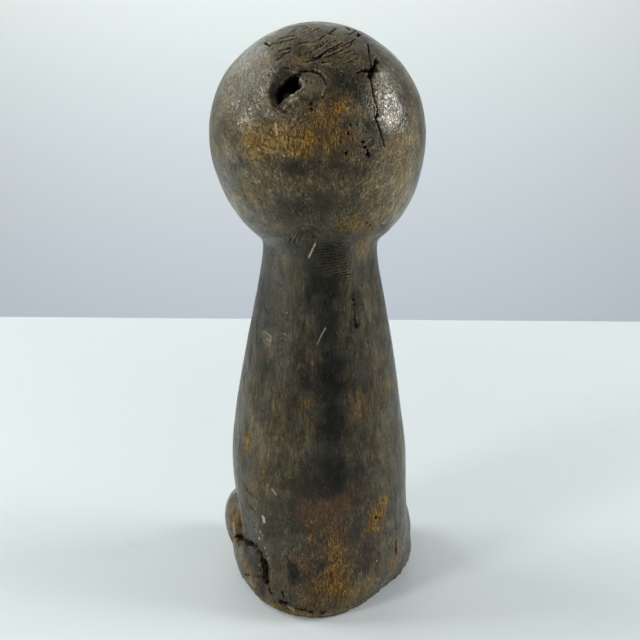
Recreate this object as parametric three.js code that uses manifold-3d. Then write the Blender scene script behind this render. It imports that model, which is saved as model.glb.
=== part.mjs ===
// Kneeling figure carved from one length of a wooden log: a ball of a head with a hollowed heart-shaped
// face, on an armless trunk that widens to the ground, with a short folded leg against each side.
// Millimetres, +Z up. The face looks along -Y, the figure's left side is +X, and it rests on Z = 0.
import * as THREE from "three";
import { mergeVertices } from "three/addons/utils/BufferGeometryUtils.js";
import Module from "manifold-3d";

const { CubicInterpolant, Vector2, Vector3 } = THREE;
const { smoothstep } = THREE.MathUtils;

// Driving dimensions.
const HEIGHT = 270; // from the ground to the crown
const HEAD_WIDTH = 98;
const NECK_WIDTH = 53;
const TRUNK_WIDTH = 86; // at its widest, a quarter of the way up
const LEG_WIDTH = 25; // across a folded thigh or shin

const wasm = await Module();
wasm.setup();

// A closed three.js geometry as a solid that can be joined and cut.
function solidOf(geometry) {
  const bare = geometry.clone();
  bare.deleteAttribute("normal");
  bare.deleteAttribute("uv");
  const merged = mergeVertices(bare, 1e-3);
  return new wasm.Manifold(
    new wasm.Mesh({
      numProp: 3,
      vertProperties: merged.attributes.position.array,
      triVerts: new Uint32Array(merged.index.array),
    }),
  );
}

// The solid's surface as a three.js geometry.
function geometryOf(solid) {
  const mesh = solid.getMesh();
  const geometry = new THREE.BufferGeometry();
  geometry.setAttribute("position", new THREE.BufferAttribute(mesh.vertProperties, 3));
  geometry.setIndex(new THREE.BufferAttribute(mesh.triVerts, 1));
  geometry.computeVertexNormals();
  return geometry;
}

// Moves each vertex of a geometry to where move() puts it.
function reshape(geometry, move) {
  const positions = geometry.getAttribute("position");
  const point = new Vector3();
  for (let i = 0; i < positions.count; i++) {
    point.fromBufferAttribute(positions, i);
    move(point);
    positions.setXYZ(i, point.x, point.y, point.z);
  }
  return geometry;
}

// A ball of radius 1 whose poles are on the Z axis.
function unitBall(columns, rows) {
  return new THREE.SphereGeometry(1, columns, rows).rotateX(Math.PI / 2);
}

// An oval ball with half sizes [x, y, z], leaned sideways, turned about Z and moved to its place.
function oval([halfX, halfY, halfZ], [x, y, z], turn = 0, lean = 0) {
  const ball = unitBall(20, 12).scale(halfX, halfY, halfZ);
  return ball.rotateY(lean).rotateZ(turn).translate(x, y, z);
}

// Head: an egg, a little longer and fuller below its middle than above it, and leaning.
const HEAD_MIDDLE = HEIGHT - HEAD_WIDTH / 2;
const HEAD_BELOW = HEAD_WIDTH * 0.575; // from its middle down to where the egg would end in the neck
const HEAD_BACK = HEAD_WIDTH * 0.48;
const HEAD_FRONT = HEAD_WIDTH * 0.43;
const HEAD_FULLNESS = { above: 1.04, below: 0.93 }; // under 1 swells it, over 1 draws it in
const HEAD_LEAN = 1.2; // how far the head leans to the left

// How far out the bare head's surface is, as a share of its depth, x across and up above its middle.
function headSurface(x, up) {
  return Math.sqrt(1 - ((x - HEAD_LEAN) ** 2 + up ** 2) / (HEAD_WIDTH / 2) ** 2);
}

function head() {
  const columns = 52;
  const rows = 34;
  return reshape(unitBall(columns, rows), (p) => {
    const above = p.z > 0;
    const fullness = above ? HEAD_FULLNESS.above : HEAD_FULLNESS.below;
    const swell = Math.max(Math.hypot(p.x, p.y), 1e-6) ** (fullness - 1);
    p.x = (p.x * swell * HEAD_WIDTH) / 2 + HEAD_LEAN * smoothstep(p.z, -0.7, 0.1);
    p.y = p.y * swell * (p.y > 0 ? HEAD_BACK : HEAD_FRONT);
    p.z = HEAD_MIDDLE + p.z * (above ? HEAD_WIDTH / 2 : HEAD_BELOW);
  });
}

// Face: a heart-shaped hollow, carved as two sockets and a jaw that run together. A long nose stands
// in it, and the eyes and the mouth are ovals with a slit. up and drop are from the head's middle.
const SOCKET = { apart: 14, up: 4, half: [17, 9, 25], turn: 0.34, lean: 0.5 };
const JAW = { drop: 19, half: [17.5, 9, 22] };
const NOSE = { up: 4, half: [6.5, 9, 21], root: 0.55, proud: 1 }; // root is its width at the top, as a share
const EYE = { apart: 16, up: 4, half: [9.5, 5, 5], sunk: 2 }; // sunk is how far behind the hollow's floor
const MOUTH = { drop: 29, half: [9.5, 5.5, 5], sunk: 4 };
const SLIT = { open: 1.6, length: 0.75 }; // length is its share of the oval's

// Both sides of the face have one of what make(side) builds.
const bothSides = (make) => [make(1), make(-1)];

function faceHollow() {
  const proud = 1; // the cutters' middles stand this far in front of the surface
  const socketFront = -HEAD_FRONT * headSurface(SOCKET.apart, SOCKET.up) - proud;
  const jawFront = -HEAD_FRONT * headSurface(0, -JAW.drop) - proud;
  const sockets = bothSides((side) => {
    const place = [side * SOCKET.apart, socketFront, HEAD_MIDDLE + SOCKET.up];
    return oval(SOCKET.half, place, side * SOCKET.turn, side * SOCKET.lean);
  });
  return [...sockets, oval(JAW.half, [0, jawFront, HEAD_MIDDLE - JAW.drop])];
}

function nose() {
  const [halfWidth, halfDepth, halfHeight] = NOSE.half;
  return reshape(unitBall(22, 16), (p) => {
    const width = halfWidth * THREE.MathUtils.mapLinear(p.z, -1, 1, 1, NOSE.root);
    const back = p.y * halfDepth - HEAD_FRONT + halfDepth - NOSE.proud;
    p.set(p.x * width, back, HEAD_MIDDLE + NOSE.up + p.z * halfHeight);
  });
}

// An oval that stands out of the face's hollow, and the slit across it.
function openOval([halfX, halfY, halfZ], place, turn) {
  const [x, y, z] = place;
  const slit = oval([halfX * SLIT.length, halfY, SLIT.open / 2], [x, y - halfY / 2, z], turn);
  return solidOf(oval([halfX, halfY, halfZ], place, turn)).subtract(solidOf(slit));
}

function carvedHead() {
  const floor = -HEAD_FRONT + SOCKET.half[1]; // how far back the hollow reaches
  const eyes = bothSides((side) =>
    openOval(EYE.half, [side * EYE.apart, floor + EYE.sunk, HEAD_MIDDLE + EYE.up], side * SOCKET.turn),
  );
  const mouth = openOval(MOUTH.half, [0, floor + MOUTH.sunk, HEAD_MIDDLE - MOUTH.drop], 0);
  const hollowed = faceHollow().map(solidOf).reduce((left, cutter) => left.subtract(cutter), solidOf(head()));
  return [solidOf(nose()), ...eyes, mouth].reduce((joined, piece) => joined.add(piece), hollowed);
}

// A knot has rotted out high on the back of the head. What is left of it fills one side of the hollow.
const KNOT = { x: 12, up: 24.5, halfWidth: 7, halfHeight: 9, depth: 7, lean: -0.66 };
const KNOT_PLUG = { aside: 8.5, halfWidth: 6 };

function knotHollow() {
  const { x, up, halfWidth, halfHeight, depth, lean } = KNOT;
  const slope = Math.asin(up / (HEAD_WIDTH / 2));
  const beside = (aside, half) =>
    oval([half, depth, halfHeight], [-aside, 0, 0])
      .rotateY(lean)
      .rotateX(slope)
      .translate(x, HEAD_BACK * headSurface(x, up), HEAD_MIDDLE + up);
  const plug = beside(KNOT_PLUG.aside, KNOT_PLUG.halfWidth);
  return solidOf(beside(0, halfWidth)).subtract(solidOf(plug));
}

// Trunk and neck: how far the surface reaches from the axis at each height, as
// [height, left, right, back, front]. It goes on below the ground, where it is cut flat, and ends in
// the head. Low down it is narrower, because the shins lie against it there, and above the neck the
// back flares into the nape.
const HIP = TRUNK_WIDTH / 2;
const NECK = NECK_WIDTH / 2;
const TRUNK_STATIONS = [
  [-6, HIP - 11, HIP - 12, 42, 30],
  [0, HIP - 5, HIP - 6, 48, 35],
  [7, HIP - 4, HIP - 1, 51, 37],
  [24, HIP - 4, HIP + 1, 47, 37],
  [44, HIP - 1, HIP, 43.5, 36],
  [68, HIP + 0.5, HIP - 0.5, 39, 37],
  [90, HIP - 2, HIP - 3.5, 35, 36],
  [118, 36, 35.5, 31, 31],
  [150, 29.5, 29.5, 27.5, 27],
  [164, NECK + 0.7, NECK + 0.5, 27.5, 25],
  [174, NECK, NECK, 31, 24],
  [184, NECK + 1, NECK + 1, 36.5, 23],
  [194, NECK - 2, NECK - 2, 40, 20],
];

function trunk() {
  const columns = 42;
  const rows = 22;
  const keel = { left: 2.15, right: 1.65 }; // at the ground behind: under 2 draws an oval's sides straight
  const keelHeight = 40;
  const heights = TRUNK_STATIONS.map((station) => station[0]);
  const reaches = new CubicInterpolant(heights, TRUNK_STATIONS.flatMap((station) => station.slice(1)), 4);
  const bottom = heights[0];
  const top = heights[heights.length - 1];
  const profile = [new Vector2(0, bottom)];
  for (let row = 0; row <= rows; row++) {
    profile.push(new Vector2(1, THREE.MathUtils.lerp(bottom, top, row / rows)));
  }
  profile.push(new Vector2(0, top));
  const tube = new THREE.LatheGeometry(profile, columns).rotateX(Math.PI / 2);
  return reshape(tube, (p) => {
    const [left, right, back, front] = reaches.evaluate(p.z);
    const sharpest = p.x > 0 ? keel.left : keel.right;
    const power = p.y > 0 ? THREE.MathUtils.lerp(sharpest, 2, smoothstep(p.z, 0, keelHeight)) : 2;
    const squared = (part) => Math.sign(part) * Math.abs(part) ** (2 / power);
    p.x = squared(p.x) * (p.x > 0 ? left : right);
    p.y = squared(p.y) * (p.y > 0 ? back : front);
  });
}

// A limb: a ball drawn out along a curve, with round ends. Its section is an oval, [half across,
// half up], which goes from startSize to endSize along the curve.
function limb(points, startSize, endSize) {
  const columns = 18;
  const rows = 14;
  const path = new THREE.CatmullRomCurve3(points);
  const length = path.getLength();
  const overhang = startSize[0] / length; // each round end stands this share of the length past the curve
  return reshape(unitBall(columns, rows), (p) => {
    const share = ((1 - p.z) / 2) * (1 + 2 * overhang) - overhang;
    const along = THREE.MathUtils.clamp(share, 0, 1);
    const past = (share - along) / overhang; // from 0 where a round end starts to 1 at its tip
    const girth = Math.sqrt(Math.max(0, 1 - past ** 2));
    const tangent = path.getTangentAt(along);
    const sideways = new Vector3().crossVectors(tangent, new Vector3(0, 0, 1)).normalize();
    const upward = new Vector3().crossVectors(sideways, tangent);
    const section = new Vector2(p.x, p.y).normalize().multiplyScalar(girth);
    p.copy(path.getPointAt(along)).addScaledVector(tangent, past * startSize[0]);
    p.addScaledVector(sideways, section.x * THREE.MathUtils.lerp(startSize[0], endSize[0], along));
    p.addScaledVector(upward, section.y * THREE.MathUtils.lerp(startSize[1], endSize[1], along));
  });
}

// One folded leg: the thigh lies forward from the hip to the knee, and the shin and foot under it
// come back along the ground. thigh and foot are how far their middles stand from the figure's
// middle, lift is the height of the thigh's, and footBack is how far back the foot ends.
function leg(side, { thigh, lift, foot, footBack }) {
  const half = LEG_WIDTH / 2;
  const upper = [
    new Vector3(side * (thigh - 4), -1, lift),
    new Vector3(side * thigh, -14, lift),
    new Vector3(side * (thigh - 6), -33, 19),
  ];
  const lower = [
    new Vector3(side * (foot - 2), -33, 8),
    new Vector3(side * foot, -8, 9),
    new Vector3(side * (foot - 4), footBack * 0.5, 11),
    new Vector3(side * (foot - 10), footBack, 12),
  ];
  return [
    limb(upper, [half, half + 5.5], [half - 1, half]),
    limb(lower, [half - 1, half - 1], [half - 1, half + 2]),
  ];
}

// The left leg stands out further, and its foot reaches further back.
const LEFT_LEG = { thigh: 38, lift: 23, foot: 33.5, footBack: 28 };
const RIGHT_LEG = { thigh: 35.5, lift: 18, foot: 36, footBack: 17 };

// Everything below the ground, which the saw took off.
function ground() {
  const size = 2 * HEIGHT;
  return new THREE.BoxGeometry(size, size, size).translate(0, 0, -size / 2);
}

const body = [trunk(), ...leg(1, LEFT_LEG), ...leg(-1, RIGHT_LEG)].map(solidOf);
const whole = body
  .reduce((joined, piece) => joined.add(piece), carvedHead())
  .subtract(knotHollow())
  .subtract(solidOf(ground()));

const wood = new THREE.MeshStandardMaterial({ color: 0x4a3a2a, roughness: 0.5, metalness: 0 });
const figure = new THREE.Mesh(geometryOf(whole), wood);
figure.name = "figure";

const part = new THREE.Group();
part.add(figure);
export default part;
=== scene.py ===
import bpy
import math
import numpy as np
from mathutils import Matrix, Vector
from mathutils.bvhtree import BVHTree


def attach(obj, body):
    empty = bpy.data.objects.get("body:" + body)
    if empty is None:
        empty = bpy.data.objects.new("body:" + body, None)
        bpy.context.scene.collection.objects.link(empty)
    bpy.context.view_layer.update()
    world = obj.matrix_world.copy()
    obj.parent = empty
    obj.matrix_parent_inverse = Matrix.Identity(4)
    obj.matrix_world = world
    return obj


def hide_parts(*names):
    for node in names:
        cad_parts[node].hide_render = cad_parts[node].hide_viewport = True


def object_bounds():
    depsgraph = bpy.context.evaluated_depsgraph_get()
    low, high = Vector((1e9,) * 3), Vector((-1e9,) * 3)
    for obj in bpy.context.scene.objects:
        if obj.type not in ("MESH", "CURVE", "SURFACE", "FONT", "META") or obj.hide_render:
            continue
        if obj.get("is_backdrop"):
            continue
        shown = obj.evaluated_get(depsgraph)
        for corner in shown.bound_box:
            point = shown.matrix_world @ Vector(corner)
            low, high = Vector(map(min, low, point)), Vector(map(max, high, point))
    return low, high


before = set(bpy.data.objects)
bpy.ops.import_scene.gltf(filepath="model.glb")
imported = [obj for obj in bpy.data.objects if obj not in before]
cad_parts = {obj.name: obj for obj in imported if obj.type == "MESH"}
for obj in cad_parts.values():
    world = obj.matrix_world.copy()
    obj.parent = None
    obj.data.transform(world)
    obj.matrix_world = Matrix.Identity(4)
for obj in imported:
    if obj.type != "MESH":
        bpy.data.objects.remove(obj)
cad_low, cad_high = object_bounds()

# The figure: one length of a log, carved with an adze and a knife, that stands on its sawn end. The solid
# gives its form. Here its facets are worked down to the rounded faces that the blade and years of
# handling left, and its face and folded legs keep more of their edges.
POINT_SPACING = 0.0015  # metres between the points of the worked surface
ROUNDING = 14  # how many times the surface is rubbed down
EDGES_KEPT = 0.8  # how much less it is rubbed down where the carving is finest
LEVELS = 5  # steps between rubbed down least and most

bpy.ops.object.select_all(action="DESELECT")
figure = bpy.data.objects.new("carved_figure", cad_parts["figure"].data.copy())
bpy.context.scene.collection.objects.link(figure)
figure.data.materials.clear()
figure.select_set(True)
bpy.context.view_layer.objects.active = figure
bpy.ops.object.mode_set(mode="EDIT")
bpy.ops.mesh.select_all(action="SELECT")
bpy.ops.mesh.remove_doubles(threshold=1e-5)
bpy.ops.object.mode_set(mode="OBJECT")


def work(kind, **settings):
    """Puts a modifier on the figure and applies it."""
    step = figure.modifiers.new("work", kind)
    for name, value in settings.items():
        setattr(step, name, value)
    bpy.ops.object.modifier_apply(modifier=step.name)


def surface():
    """The figure's points in millimetres and the way each one faces."""
    points = np.empty(len(figure.data.vertices) * 3)
    facing = np.empty(len(figure.data.vertices) * 3)
    figure.data.vertices.foreach_get("co", points)
    figure.data.vertices.foreach_get("normal", facing)
    return points.reshape(-1, 3) * 1000, facing.reshape(-1, 3)


worked = {}  # the figure's shape as last settled, to find places on


def settle(points):
    """Puts the figure's points where the array in millimetres says."""
    figure.data.vertices.foreach_set("co", (points / 1000).ravel())
    figure.data.update()
    worked["shape"] = BVHTree.FromObject(figure, bpy.context.evaluated_depsgraph_get())


def ramp(values, start, end):
    """0 at start and 1 at end, smooth between."""
    share = np.clip((values - start) / (end - start), 0, 1)
    return share * share * (3 - 2 * share)


work("REMESH", mode="VOXEL", voxel_size=POINT_SPACING, use_smooth_shade=True)
points, _ = surface()
on_face = ramp(points[:, 1], -22, -30) * ramp(points[:, 2], 178, 186)
on_legs = ramp(points[:, 2], 62, 52) * ramp(abs(points[:, 0]), 22, 28)
fine = np.maximum(on_face, on_legs * 0.6)
plain = figure.vertex_groups.new(name="plain")
for level in range(1, LEVELS + 1):
    chosen = np.flatnonzero(np.round((1 - fine * EDGES_KEPT) * LEVELS) == level)
    plain.add(chosen.tolist(), level / LEVELS, "REPLACE")
sawn = points[:, 2] < 0.05
work("SMOOTH", factor=0.5, iterations=ROUNDING, vertex_group="plain")
points, _ = surface()
points[sawn, 2] = 0
settle(points)

# Tool work: the adze left long shallow faces down the trunk, and the knife short ones round the head, with
# finer marks over both. The worked skin lies a little inside the solid, so that it stays within its box.
# These are in millimetres.
ADZE_FACES = 0.17
KNIFE_FACES = 0.13
FINE_MARKS = 0.05
SKIN_INSIDE = 0.25


def waver(points, size, seed, stretch=(1, 1, 1)):
    """A smooth uneven field over the points, from about -1 to 1, with humps about size across."""
    waves = 14
    chance = np.random.default_rng(seed)
    total = np.zeros(len(points))
    for _ in range(waves):
        way = chance.normal(size=3)
        pitch = size * chance.uniform(1.3, 2.6)
        place = (points / np.array(stretch)) @ (way / np.linalg.norm(way))
        total += np.sin(place * 2 * math.pi / pitch + chance.uniform(0, 2 * math.pi))
    return total / 4


points, facing = surface()
on_trunk = ramp(points[:, 2], 200, 180)
faces = ADZE_FACES * waver(points, 9, 3, (1, 1, 5)) * on_trunk
faces += KNIFE_FACES * waver(points, 9, 4, (1, 1, 1.6)) * (1 - on_trunk)
faces += FINE_MARKS * waver(points, 3.5, 5, (1, 1, 3))
above_saw_cut = ramp(points[:, 2], 0, 2)
settle(points - facing * (faces + SKIN_INSIDE)[:, None] * above_saw_cut[:, None])

# Knot: high on the back of the head a knot has rotted out. Its hollow is a deep crescent, and the plug
# that is left beside it is a low smooth dome with a lumpy edge, parted from the head by a fine crack.
# Places are (across, up) in millimetres, as seen straight on.
KNOT_MIDDLE = (9.0, 246.0)
KNOT_INWARD = np.array((-0.16, -0.86, -0.48))  # the way the knot ran into the head
HOLLOW = [
    (8.3, 251.7), (10.3, 251.2), (12.2, 250.2), (14.2, 248.6), (17.2, 246.2), (18.7, 242.8), (17.2, 238.9),
    (15.3, 240.9), (13.0, 242.6), (10.3, 243.7), (8.2, 245.1), (7.0, 246.7), (8.6, 248.2), (8.0, 249.4),
    (6.9, 251.0),
]
HOLLOW_DEPTH = 7.5
HOLLOW_LIP = 1.2  # how far the wood dips round the hollow, on its left
PLUG = {"middle": (3.4, 246.8), "across": 6.4, "up": 5.4, "height": 0.7, "groove": 0.5}
PLUG_CRACK = [(8.2, 251.5), (5.2, 251.8), (2.9, 251.5), (0.1, 250.8), (-1.5, 249.2), (-2.1, 247.1)]
PLUG_EDGE = [
    (7.4, 250.6), (8.4, 249.0), (6.8, 247.4), (7.4, 245.0), (9.8, 243.2), (13.0, 241.8), (15.2, 240.0),
]
PLUG_PITS = [((3.4, 247.8), 0.8, 1.5), ((5.2, 248.3), 0.6, 1.2)]
HEAD = {"middle": 221, "radius": 49, "back": 47.04, "lean": 1.2}  # the solid's head, as far as it is bare


def refine(near, finest):
    """Divides the faces wider than finest millimetres whose middles near() chooses, and rounds them off."""
    middles = np.empty(len(figure.data.polygons) * 3)
    areas = np.empty(len(figure.data.polygons))
    figure.data.polygons.foreach_get("center", middles)
    figure.data.polygons.foreach_get("area", areas)
    chosen = near(middles.reshape(-1, 3) * 1000) & (areas * 1e6 > (finest * 1.3) ** 2)
    bpy.ops.object.mode_set(mode="EDIT")
    bpy.ops.mesh.select_mode(type="FACE")
    bpy.ops.mesh.select_all(action="DESELECT")
    bpy.ops.object.mode_set(mode="OBJECT")
    figure.data.polygons.foreach_set("select", chosen)
    bpy.ops.object.mode_set(mode="EDIT")
    bpy.ops.mesh.subdivide(number_cuts=1, ngon=False)
    bpy.ops.mesh.vertices_smooth(factor=0.5, repeat=2)
    bpy.ops.object.mode_set(mode="OBJECT")


def mark(name, amounts):
    """Keeps an amount from 0 to 1 on every point, for the finish to read."""
    layer = figure.data.attributes.get(name) or figure.data.attributes.new(name, "FLOAT", "POINT")
    layer.data.foreach_set("value", np.clip(amounts, 0, 1))


def kept(name):
    """The amounts that mark() kept under that name, or none."""
    amounts = np.zeros(len(figure.data.vertices))
    if name in figure.data.attributes:
        figure.data.attributes[name].data.foreach_get("value", amounts)
    return amounts


def seen(across, up, side):
    """The place on the wood that is seen straight on at that many millimetres across and up, from the back
    when side is 1 and from the front when it is -1."""
    start = Vector((across / 1000, 0.1 * side, up / 1000))
    return np.array(worked["shape"].ray_cast(start, Vector((0, -side, 0)))[0]) * 1000


def drawn(*places, side=1):
    """A line on the wood through places given as (across, up)."""
    line = [seen(*places[0], side)]
    for (across, up), (next_across, next_up) in zip(places, places[1:]):
        steps = max(1, round(math.hypot(next_across - across, next_up - up)))
        for step in range(1, steps + 1):
            share = step / steps
            line.append(seen(across + (next_across - across) * share, up + (next_up - up) * share, side))
    return np.array(line)


def away_from(points, line):
    """How many millimetres each point is from a line; a point far off it is just called far."""
    reach = 8
    away = np.full(len(points), 99.0)
    close = ((points > line.min(0) - reach) & (points < line.max(0) + reach)).all(1)
    some = points[close]
    nearest = np.linalg.norm(some - line[0], axis=1)
    for start, end in zip(line, line[1:]):
        run = end - start
        share = np.clip((some - start) @ run / (run @ run), 0, 1)[:, None]
        nearest = np.minimum(nearest, np.linalg.norm(some - start - share * run, axis=1))
    away[close] = nearest
    return away


def cut(openings, soot_and_shade=0.35):
    """Cuts grooves and holes with ragged edges and blackens them, the black being painted shade. Each is
    (line, half width, depth), and may end with how dark it is. The last argument is how far out, as a share
    of the half width, the painted shade is fully dark."""
    points, facing = surface()
    ragged = 1 + 0.4 * waver(points, 0.9, 11) + 0.25 * waver(points, 3, 12)
    depth = np.zeros(len(points))
    black = kept("black")
    for line, half_width, deep, *darkness in openings:
        away = away_from(points, line) / (half_width * np.clip(ragged, 0.35, 2))
        depth = np.maximum(depth, deep * (1 - ramp(away, 0.1, 1)))
        black = np.maximum(black, (1 - ramp(away, soot_and_shade, 1.15)) * (darkness[0] if darkness else 1))
    settle(points - facing * depth[:, None])
    mark("black", black)


def egg_back(across, up):
    """How far back the bare head reaches, seen straight from behind."""
    rise = (up - HEAD["middle"]) / HEAD["radius"]
    ring = np.clip(1 - rise**2, 0, 1) ** 1.04
    return HEAD["back"] * np.sqrt(np.clip(ring - ((across - HEAD["lean"]) / HEAD["radius"]) ** 2, 0, 1))


def bare_head(points, inward):
    """How far each point lies under the bare head, along inward."""
    shallow, deep = np.full(len(points), -12.0), np.full(len(points), 12.0)
    for _ in range(16):
        half = (shallow + deep) / 2
        place = points - half[:, None] * inward
        outside = place[:, 1] > egg_back(place[:, 0], place[:, 2])
        deep = np.where(outside, half, deep)
        shallow = np.where(outside, shallow, half)
    return half


def inside(outline, across, up):
    """How far inside a closed outline each place is; outside it the distance is negative."""
    nearest = np.full(len(across), 99.0)
    within = np.zeros(len(across), bool)
    for (x1, z1), (x2, z2) in zip(outline, outline[1:] + outline[:1]):
        along = (across - x1) * (x2 - x1) + (up - z1) * (z2 - z1)
        share = np.clip(along / math.hypot(x2 - x1, z2 - z1) ** 2, 0, 1)
        from_side = np.hypot(across - x1 - share * (x2 - x1), up - z1 - share * (z2 - z1))
        nearest = np.minimum(nearest, from_side)
        crosses = (z1 > up) != (z2 > up)
        within ^= crosses & (across < x1 + (up - z1) / (z2 - z1 + 1e-9) * (x2 - x1))
    return np.where(within, nearest, -nearest)


def from_knot(points):
    return np.hypot(points[:, 0] - KNOT_MIDDLE[0], points[:, 2] - KNOT_MIDDLE[1])


def near_knot(points, reach):
    return (points[:, 1] > 15) & (from_knot(points) < reach)


# The solid's plain hollow is filled up to the bare head first, and the true one is cut in its place.
points, _ = surface()
zone = near_knot(points, 17)
under = bare_head(points[zone], KNOT_INWARD)
fill = 1 - ramp(from_knot(points[zone]), 11, 17)
points[zone] -= KNOT_INWARD * (under * fill - SKIN_INSIDE * fill)[:, None]
settle(points)
refine(lambda middles: near_knot(middles, 13.5), 0.8)
refine(lambda middles: near_knot(middles, 12), 0.4)
points, _ = surface()
zone = near_knot(points, 15)
x, z = points[zone, 0], points[zone, 2]
ragged = 0.25 * waver(points[zone], 1.6, 21) + 0.15 * waver(points[zone], 0.7, 22)
hollow = inside(HOLLOW, x, z) + ragged
depth = HOLLOW_DEPTH * ramp(hollow, -0.2, 2.2) + HOLLOW_LIP * ramp(hollow, -3.5, 0) * ramp(x, 9, 13)
from_plug = np.hypot((x - PLUG["middle"][0]) / PLUG["across"], (z - PLUG["middle"][1]) / PLUG["up"])
outside = 1 - ramp(hollow, -0.8, 0.2)
groove = PLUG["groove"] * ramp(from_plug, 0.75, 0.95) * (1 - ramp(from_plug, 0.95, 1.25))
depth += (groove - PLUG["height"] * (1 - ramp(from_plug, 0.2, 1))) * outside
edge = np.array([(across, 0, up) for across, up in PLUG_EDGE])
level = np.column_stack((x, np.zeros(len(x)), z))
on_edge = 1 - ramp(away_from(level, edge), 0.1, 1.1)
depth -= on_edge * (0.5 + 0.25 * waver(points[zone], 1.8, 23)) * outside
lumpy = (1 - ramp(away_from(level, edge[3:] + np.array((-1.0, 0, -2.2))), 0.8, 3.2)) * outside
depth += lumpy * (0.25 + 0.35 * waver(points[zone], 1.5, 24))
points[zone] += KNOT_INWARD * depth[:, None]
settle(points)
# The hollow is painted black as painted shade, and so is the dip on its left, where shade falls.
black = kept("black")
black[zone] = np.maximum(ramp(hollow, -0.5, 0.7), 0.6 * ramp(hollow, -2.6, 0.4) * ramp(x, 11, 15))
mark("black", black)
plug_pits = [(drawn(place), half_width, depth) for place, half_width, depth in PLUG_PITS]
cut([(drawn(*PLUG_CRACK), 0.6, 2.0)] + plug_pits)

# Face: the knife went round the eyes, the mouth and the nose, and slit the lids and the lips open. Each
# cut is given as half width, depth and darkness.
FACE_OVALS = [(16, 225.5), (-16, 225.5), (0, 192)]
RIM_OF_OVAL = {"across": 9.2, "up": 4.6, "cut": (0.8, 0.9, 0.5)}
SLIT_OF_OVAL = {"across": 6.4, "cut": (0.9, 1.7, 0.9)}
NOSE_SIDE = [(2.8, 244), (4.4, 236), (5.8, 226), (6.8, 216), (6.6, 209), (4.4, 204.5), (0, 203)]
NOSE_CUT = (0.9, 0.9, 0.5)


def refine_along(lines, reach, finest=0.36):
    """Divides the faces near some lines, finest near them and coarser a little further off."""
    for wider in (1.2, 0.4, 0):
        refine(lambda middles: np.min([away_from(middles, line) for line in lines], axis=0) < reach + wider,
               finest if wider < 1 else finest * 2)


face_cuts = []
for across, up in FACE_OVALS:
    turns = np.linspace(0, 2 * math.pi, 25)
    rim = [(across + RIM_OF_OVAL["across"] * math.cos(turn), up + RIM_OF_OVAL["up"] * math.sin(turn))
           for turn in turns]
    slit = [(across - SLIT_OF_OVAL["across"], up), (across + SLIT_OF_OVAL["across"], up)]
    face_cuts.append((drawn(*rim, side=-1), *RIM_OF_OVAL["cut"]))
    face_cuts.append((drawn(*slit, side=-1), *SLIT_OF_OVAL["cut"]))
for way in (1, -1):
    face_cuts.append((drawn(*[(across * way, up) for across, up in NOSE_SIDE], side=-1), *NOSE_CUT))
refine_along([line for line, *_ in face_cuts], 1.0, 0.5)
cut(face_cuts)

# Cracks and slits: the crown is end grain, and short checks opened along it as the log dried. A long
# crack runs down the right side of the head from a star where the wood has split four ways. Each is
# given as its places, half width and depth, and the finest slits are strewn over the crown.
STAR = (-21.6, 251.0)
LONG_CRACK = [
    (-20.3, 261.2), (-20.6, 259.2), (-20.7, 256.8), (-21.3, 253.6), STAR, (-20.7, 247.9), (-21.7, 244.9),
    (-22.1, 241.6), (-23.1, 238.6), (-23.8, 236.3), (-23.2, 233.0), (-23.6, 231.1), (-24.9, 227.9),
    (-26.2, 223.8), (-26.8, 221.1),
]
CRACKS = [
    (LONG_CRACK[:4], 0.31, 0.9),
    (LONG_CRACK[3:6], 0.70, 2.2),
    (LONG_CRACK[5:10], 0.39, 1.8),
    (LONG_CRACK[9:], 0.33, 1.2),
    ([(-22.3, 237.2), (-22.6, 233.8), (-23.4, 231.5)], 0.27, 0.9),
    ([STAR, (-22.6, 252.6), (-23.4, 255.2)], 1.3, 2.6),
    ([STAR, (-19.0, 251.8), (-17.6, 251.4)], 1.0, 2.0),
    ([(-17.6, 251.4), (-14.8, 250.8)], 0.5, 1.0),
    ([STAR, (-23.8, 251.4)], 1.0, 1.8),
    ([(-21.4, 251.4)], 2.3, 3.0),
    ([(-20.6, 250.4), (-20.2, 249.2)], 1.0, 2.0),
    ([(-24.1, 234.2)], 0.78, 2.0),
]
SLITS = [
    ([(5.6, 255.3), (2.1, 256.1), (0.6, 257.1)], 0.47, 1.0),
    ([(1.4, 256.9), (-1.1, 258.4), (-3.0, 259.7)], 0.89, 1.8),
    ([(-1.9, 259.2), (-4.3, 260.3), (-8.7, 262.1)], 0.53, 1.3),
    ([(-3.6, 258.9), (-6.6, 260.1), (-9.0, 261.2)], 0.45, 1.1),
    ([(17.1, 259.0), (12.2, 260.3)], 0.45, 1.0),
    ([(18.0, 255.5), (14.6, 258.0), (12.8, 258.6)], 0.45, 1.1),
    ([(16.5, 252.8), (13.0, 252.9)], 0.36, 0.6),
    ([(16.6, 263.6), (13.0, 264.4), (10.4, 264.8)], 0.45, 1.0),
    ([(17.5, 261.8), (13.0, 263.1), (9.6, 264.0)], 0.42, 1.0),
    ([(8.5, 262.0), (5.5, 262.4), (2.0, 262.6), (0.1, 263.5), (-1.9, 264.9)], 0.47, 1.1),
    ([(2.9, 259.8), (0.1, 261.0), (-1.9, 262.4), (-3.0, 262.9)], 0.58, 1.3),
    ([(-2.9, 262.0), (-6.5, 263.1)], 0.42, 1.0),
    ([(-3.1, 265.6), (-5.6, 265.2)], 0.47, 0.8),
    ([(-0.8, 255.1), (-3.9, 255.4)], 0.53, 1.0),
    ([(-7.9, 259.0), (-9.5, 259.6)], 0.53, 1.0),
    ([(10.9, 267.5), (8.7, 268.0), (6.4, 268.4)], 0.42, 0.7),
    ([(23.2, 261.4), (21.2, 260.6), (19.4, 261.8)], 0.63, 1.2),
    ([(-11.4, 267.3), (-12.6, 266.5)], 0.53, 1.0),
    ([(-15.2, 264.6), (-16.2, 264.2)], 0.94, 1.4),
    ([(-16.8, 264.9), (-16.4, 264.2)], 0.84, 1.4),
    ([(-12.8, 257.8), (-14.5, 258.2)], 0.53, 0.8),
]
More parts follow.
